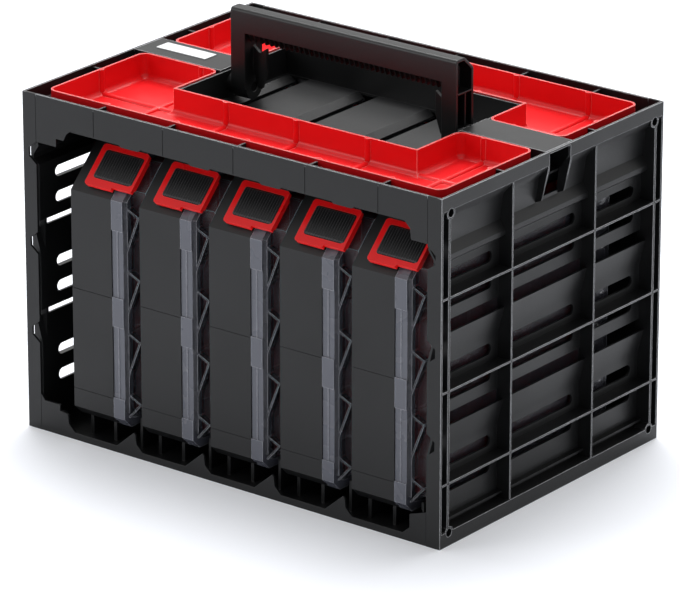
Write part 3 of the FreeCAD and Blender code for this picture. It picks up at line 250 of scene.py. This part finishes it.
def edge_light(tree, radius):
    """Mask of painted edge highlights: 1 on outer edges within a radius, 0 on flats and in inner
    corners.
    """
    rounded = tree.nodes.new("ShaderNodeBevel")
    rounded.samples = EDGE_SAMPLES
    rounded.inputs["Radius"].default_value = radius
    flat = tree.nodes.new("ShaderNodeNewGeometry")
    dot = tree.nodes.new("ShaderNodeVectorMath")
    dot.operation = "DOT_PRODUCT"
    tree.links.new(rounded.outputs["Normal"], dot.inputs[0])
    tree.links.new(flat.outputs["True Normal"], dot.inputs[1])
    open_air = tree.nodes.new("ShaderNodeAmbientOcclusion")
    open_air.samples = EDGE_SAMPLES
    open_air.only_local = True
    open_air.inputs["Distance"].default_value = EDGE_REACH
    turn = map_range(tree, dot.outputs["Value"], EDGE_TURN)
    outer = map_range(tree, open_air.outputs["AO"], EDGE_OPEN)
    return calculate(tree, "MULTIPLY", turn, outer)


def zone_mask(tree, coords, zone):
    """0 up to the zone's start and 1 from its end, by distance from the origin along one axis."""
    axis, start, end = zone
    distance = calculate(tree, "ABSOLUTE", component(tree, coords, axis))
    return map_range(tree, distance, (start, end))


def blend_colours(tree, factor, first, second):
    mix = tree.nodes.new("ShaderNodeMix")
    mix.data_type = "RGBA"
    for name, colour in (("A", first), ("B", second)):
        socket = [i for i in mix.inputs if i.name == name and i.type == "RGBA"][0]
        if isinstance(colour, bpy.types.NodeSocket):
            tree.links.new(colour, socket)
        else:
            socket.default_value = (*colour, 1)
    tree.links.new(factor, [i for i in mix.inputs if i.name == "Factor" and i.type == "VALUE"][0])
    return [o for o in mix.outputs if o.type == "RGBA"][0]


def shades(tree, factor, colour, spread):
    """A colour that varies a little about the written one."""
    dark = [c * (1 - spread) for c in colour]
    light = [min(1, c * (1 + spread)) for c in colour]
    return blend_colours(tree, factor, dark, light)


def moulded_plastic(name, colour, rough, edge_highlight=None, edge_radius=0.0006,
                    grain_depth=0.00006, grain_scale=2400, zone=None):
    """Fine spark-eroded grain, uneven gloss, flow marks and a painted highlight on outer edges."""
    material, tree, shader, coords = node_tree(name)
    cloud = noise(tree, coords, *CLOUD)
    gloss = spread_noise(tree, cloud, (rough - SMOOTHER, rough + ROUGHER))
    tree.links.new(gloss, shader.inputs["Roughness"])
    base = shades(tree, cloud, colour, CLOUD_SPREAD)
    # painted highlight: outer edges take the given highlight colour, only within the zone if one
    # is given
    if edge_highlight:
        light = edge_light(tree, edge_radius)
        if zone:
            light = calculate(tree, "MULTIPLY", light, zone_mask(tree, coords, zone))
        base = blend_colours(tree, light, base, edge_highlight)
    tree.links.new(base, shader.inputs["Base Color"])
    bump(tree, shader, noise(tree, coords, grain_scale, GRAIN_DETAIL), grain_depth)
    shader.inputs["IOR"].default_value = PLASTIC_IOR
    return material


def case_box(index):
    """Lowest and highest corner of a case, in metres."""
    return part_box(f"case_{index}_base")


def on_shell(tree, coords):
    """1 on a lid's shell and 0 on its flange, by the distance from the left side of its case."""
    left, next_left = case_box(1)[0][0], case_box(2)[0][0]
    pitch = next_left - left
    shift = SHIFT_PITCHES * pitch - left
    along = calculate(tree, "ADD", component(tree, coords, "X"), shift)
    local = calculate(tree, "MODULO", along, pitch)
    return calculate(tree, "GREATER_THAN", local, FLANGE_END * MM)


def lid_alpha(tree, shell, edge_highlight):
    """Dense flange and edges, see-through shell, and a frosted look on faces that point right."""
    solid = map_range(tree, shell, result=(1.0, SHELL_ALPHA))
    facing = tree.nodes.new("ShaderNodeNewGeometry")
    rightward = component(tree, facing.outputs["Normal"], "X")
    frost = calculate(tree, "MULTIPLY", rightward, FROST_ALPHA)
    veil = calculate(tree, "MAXIMUM", solid, frost)
    return calculate(tree, "MAXIMUM", veil, edge_highlight)


def lid_plastic():
    """A lid's two looks, the dense grey flange by the base and the smoky shell beyond it, with a
    painted highlight on outer edges.
    """
    material, tree, shader, coords = node_tree("lid_smoke")
    shell = on_shell(tree, coords)
    cloud = noise(tree, coords, *LID_CLOUD)
    edge_highlight = edge_light(tree, LID_EDGE_RADIUS)
    flange = shades(tree, cloud, FLANGE_GREY, FLANGE_SPREAD)
    smoke = shades(tree, cloud, SMOKE, SMOKE_SPREAD)
    base = blend_colours(tree, shell, flange, smoke)
    # painted highlight on the lid's outer edges, which also stay dense
    base = blend_colours(tree, edge_highlight, base, LID_EDGE_HIGHLIGHT)
    tree.links.new(base, shader.inputs["Base Color"])
    tree.links.new(lid_alpha(tree, shell, edge_highlight), shader.inputs["Alpha"])
    tree.links.new(spread_noise(tree, cloud, LID_ROUGHNESS), shader.inputs["Roughness"])
    bump(tree, shader, cloud, LID_BUMP, LID_BUMP_STRENGTH)
    return material


def steel_finish(name, colour):
    material, tree, shader, coords = node_tree(name)
    shader.inputs["Metallic"].default_value = 1.0
    cloud = noise(tree, coords, *STEEL_CLOUD)
    tree.links.new(spread_noise(tree, cloud, STEEL_ROUGHNESS), shader.inputs["Roughness"])
    tree.links.new(shades(tree, cloud, colour, CLOUD_SPREAD), shader.inputs["Base Color"])
    bump(tree, shader, cloud, STEEL_BUMP)
    return material


# each edge colour given below is a painted highlight on that plastic's outer edges
MATERIALS = {
    "wall": moulded_plastic("wall_plastic", BLACK_PLASTIC, rough=0.40, edge_highlight=RIM_LIGHT,
                            edge_radius=0.0009, zone=WALL_HIGHLIGHT_ZONE),
    "top": moulded_plastic("top_plastic", BLACK_PLASTIC, rough=0.40, edge_highlight=RIM_LIGHT,
                           edge_radius=0.0008, zone=TOP_HIGHLIGHT_ZONE),
    "rack": moulded_plastic("rack_plastic", BLACK_PLASTIC, rough=0.42, edge_highlight=DIM_RIM_HIGHLIGHT),
    "case": moulded_plastic("case_plastic", CASE_BLACK, rough=0.42, edge_highlight=DIM_RIM_HIGHLIGHT,
                            edge_radius=0.0004),
    "grip": moulded_plastic("grip_plastic", CASE_BLACK, rough=0.34, edge_highlight=DIM_RIM_HIGHLIGHT,
                            edge_radius=0.0004),
    # the pad's ribs get a painted highlight on their crests
    "pad": moulded_plastic("pad_plastic", PAD_BLACK, rough=0.38, edge_highlight=PAD_CREST_HIGHLIGHT),
    "tray": moulded_plastic("tray_red", TRAY_RED, rough=0.33, edge_highlight=RED_EDGE_HIGHLIGHT,
                            edge_radius=0.0005, grain_depth=0.00003, grain_scale=1500),
    "latch": moulded_plastic("latch_red", LATCH_RED, rough=0.3, edge_highlight=LATCH_EDGE_HIGHLIGHT,
                             edge_radius=0.0004, grain_depth=0.00002, grain_scale=1500),
    "bin": moulded_plastic("bin_red", BIN_RED, rough=0.35, edge_highlight=RED_EDGE_HIGHLIGHT,
                           edge_radius=0.0005, grain_depth=0.00003),
    "label": moulded_plastic("label_grey", LABEL_GREY, rough=0.35, grain_depth=0.00002),
    "lid": lid_plastic(),
    "steel": steel_finish("zinc_steel", STEEL),
    "black_steel": steel_finish("black_steel", BLACK_STEEL),
}


def sharpen_group():
    """Nodes that drop imported normals, smooth the faces and keep edges over the angle crisp."""
    group = bpy.data.node_groups.new("sharpen", "GeometryNodeTree")
    group.interface.new_socket("Geometry", in_out="INPUT", socket_type="NodeSocketGeometry")
    group.interface.new_socket("Geometry", in_out="OUTPUT", socket_type="NodeSocketGeometry")
    start = group.nodes.new("NodeGroupInput")
    end = group.nodes.new("NodeGroupOutput")
    angle = group.nodes.new("GeometryNodeInputMeshEdgeAngle")
    compare = group.nodes.new("FunctionNodeCompare")
    compare.operation = "GREATER_THAN"
    compare.inputs["B"].default_value = math.radians(SHARP_ANGLE)
    group.links.new(angle.outputs["Unsigned Angle"], compare.inputs["A"])
    normals = group.nodes.new("GeometryNodeSetMeshNormal")
    normals.mode = "SHARPNESS"
    normals.inputs["Remove Custom"].default_value = True
    normals.inputs["Face Sharpness"].default_value = False
    group.links.new(start.outputs[0], normals.inputs["Mesh"])
    group.links.new(compare.outputs["Result"], normals.inputs["Edge Sharpness"])
    group.links.new(normals.outputs["Mesh"], end.inputs[0])
    return group


SHARPEN = sharpen_group()


def sharpen(piece):
    piece.modifiers.new("normals", "NODES").node_group = SHARPEN


def dress(name, finish, width, steps):
    """Gives a carried-over solid its finish and rounds its edges."""
    node = nodes[name]
    node.data.materials.clear()
    node.data.materials.append(MATERIALS[finish])
    weld = node.modifiers.new("weld", "WELD")
    weld.merge_threshold = WELD_DISTANCE
    sharpen(node)
    if width:
        bevel = node.modifiers.new("round", "BEVEL")
        bevel.width = width * MM
        bevel.segments = steps
        bevel.limit_method = "ANGLE"
        bevel.angle_limit = math.radians(SHARP_ANGLE)
        bevel.use_clamp_overlap = True
        bevel.harden_normals = True


def add_object(name, data):
    added = bpy.data.objects.new(name, data)
    bpy.context.scene.collection.objects.link(added)
    return added


def mesh_from(bm, name, material):
    mesh = bpy.data.meshes.new(name)
    bm.to_mesh(mesh)
    bm.free()
    mesh.materials.append(material)
    return mesh


def on_slope(box, x, a, b, rear):
    """A point of a latch's flat drawing, placed on its case."""
    (left, front, _), (_, back, _) = box
    inward = (a - b) * DIAGONAL * MM
    y = back - inward if rear else front + inward
    z = SLOPE_FOOT_Z + (a + b) * DIAGONAL
    return Vector((left + x * MM, y, z * MM))


def pad_profile(wave):
    """A pad's outline up the slope, from its lower end over its top to its upper end."""
    lower = [(PAD_A0, PAD_BOTTOM)]
    upper = [(PAD_A1, PAD_BOTTOM)]
    for inset, depth, share in PAD_SHOULDER:
        b = PAD_TOP - depth + share * wave
        lower.append((PAD_A0 + inset, b))
        upper.append((PAD_A1 - inset, b))
    crown = ((PAD_A0 + PAD_A1) / 2, PAD_TOP + PAD_CROWN * wave)
    return [*lower, crown, *reversed(upper)]


def ribbed_pad(name, box, rear):
    """The latch's black insert, with a row of fine round ribs up the slope."""
    bm = bmesh.new()
    steps = PAD_RIBS * PAD_STEPS_PER_RIB
    rows = []
    for step in range(steps + 1):
        x = PAD_X0 + (PAD_X1 - PAD_X0) * step / steps
        wave = PAD_RIB_HEIGHT * abs(math.sin(math.pi * PAD_RIBS * step / steps))
        from_side = min(x - PAD_X0, PAD_X1 - x)
        side_drop = PAD_SIDE_DROP * (1 - min(1.0, from_side / PAD_SIDE_WIDTH))
        row = []
        for a, b in pad_profile(wave):
            drop = side_drop if b > PAD_BOTTOM else 0
            row.append(bm.verts.new(on_slope(box, x, a, b - drop, rear)))
        rows.append(row)
    for row, after in zip(rows, rows[1:]):
        for k in range(len(row) - 1):
            bm.faces.new((row[k], row[k + 1], after[k + 1], after[k]))
        bm.faces.new((row[-1], row[0], after[0], after[-1]))
    bm.faces.new(rows[0])
    bm.faces.new(list(reversed(rows[-1])))
    bmesh.ops.recalc_face_normals(bm, faces=bm.faces)
    pad = add_object(name, mesh_from(bm, name, MATERIALS["pad"]))
    sharpen(pad)
    return pad


def dress_cases():
    for index in range(1, CASE_COUNT + 1):
        case = f"case_{index}"
        for piece, look in CASE_DRESS.items():
            dress(f"{case}_{piece}", *look)
        for end in ("front", "rear"):
            pad = ribbed_pad(f"{case}_{end}_ribs", case_box(index), end == "rear")
            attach(pad, f"{case}_{end}_latch")
            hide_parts(f"{case}_{end}_latch_pad")


def dress_rack():
    for piece, look in RACK_DRESS.items():
        dress(piece, *look)


def place_camera():
    data = bpy.data.cameras.new("photo_camera")
    data.sensor_width = SENSOR_MM
    data.lens = FOCAL_PX / PHOTO_WIDTH_PX * SENSOR_MM
    data.clip_end = CLIP_END
    camera = add_object("photo_camera", data)
    az, el = math.radians(AZIMUTH), math.radians(ELEVATION)
    away = Vector((math.sin(az) * math.cos(el), -math.cos(az) * math.cos(el), math.sin(el)))
    camera.location = TARGET + away * CAMERA_DISTANCE
    camera.rotation_euler = (-away).to_track_quat("-Z", "Y").to_euler()
    bpy.context.scene.camera = camera


def softbox(name, location, target, size, watts):
    data = bpy.data.lights.new(name, "AREA")
    data.shape = "RECTANGLE"
    data.size, data.size_y = size
    data.energy = watts
    lamp = add_object(name, data)
    lamp.location = location
    lamp.rotation_euler = (Vector(target) - Vector(location)).to_track_quat("-Z", "Y").to_euler()


def seen_directly(tree):
    """1 for camera, glossy and transmission rays, which show the white surroundings."""
    path = tree.nodes.new("ShaderNodeLightPath")
    total = path.outputs["Is Camera Ray"]
    for name in ("Is Glossy Ray", "Is Transmission Ray"):
        total = calculate(tree, "MAXIMUM", total, path.outputs[name])
    return total


def light_studio():
    for lamp in SOFTBOXES:
        softbox(*lamp)
    world = bpy.data.worlds.new("studio")
    world.use_nodes = True
    tree = world.node_tree
    strength = map_range(tree, seen_directly(tree), result=(WORLD_FILL, 1.0))
    background = tree.nodes["Background"]
    background.inputs["Color"].default_value = WHITE
    tree.links.new(strength, background.inputs["Strength"])
    bpy.context.scene.world = world


def lay_floor():
    material, tree, shader, coords = node_tree("floor_pale")
    shader.inputs["Specular IOR Level"].default_value = 0.0
    pale = shades(tree, noise(tree, coords, *FLOOR_CLOUD), FLOOR_WHITE, FLOOR_SPREAD)
    tree.links.new(pale, shader.inputs["Base Color"])
    glow = map_range(tree, seen_directly(tree), result=(0.0, FLOOR_GLOW))
    tree.links.new(glow, shader.inputs["Emission Strength"])
    shader.inputs["Emission Color"].default_value = WHITE
    bm = bmesh.new()
    bmesh.ops.create_grid(bm, x_segments=FLOOR_STEPS, y_segments=FLOOR_STEPS, size=FLOOR_HALF_SIZE)
    floor = add_object("floor", mesh_from(bm, "floor", material))


dress_rack()
dress_cases()
place_camera()
light_studio()
lay_floor()
bpy.context.scene.view_settings.view_transform = "Standard"
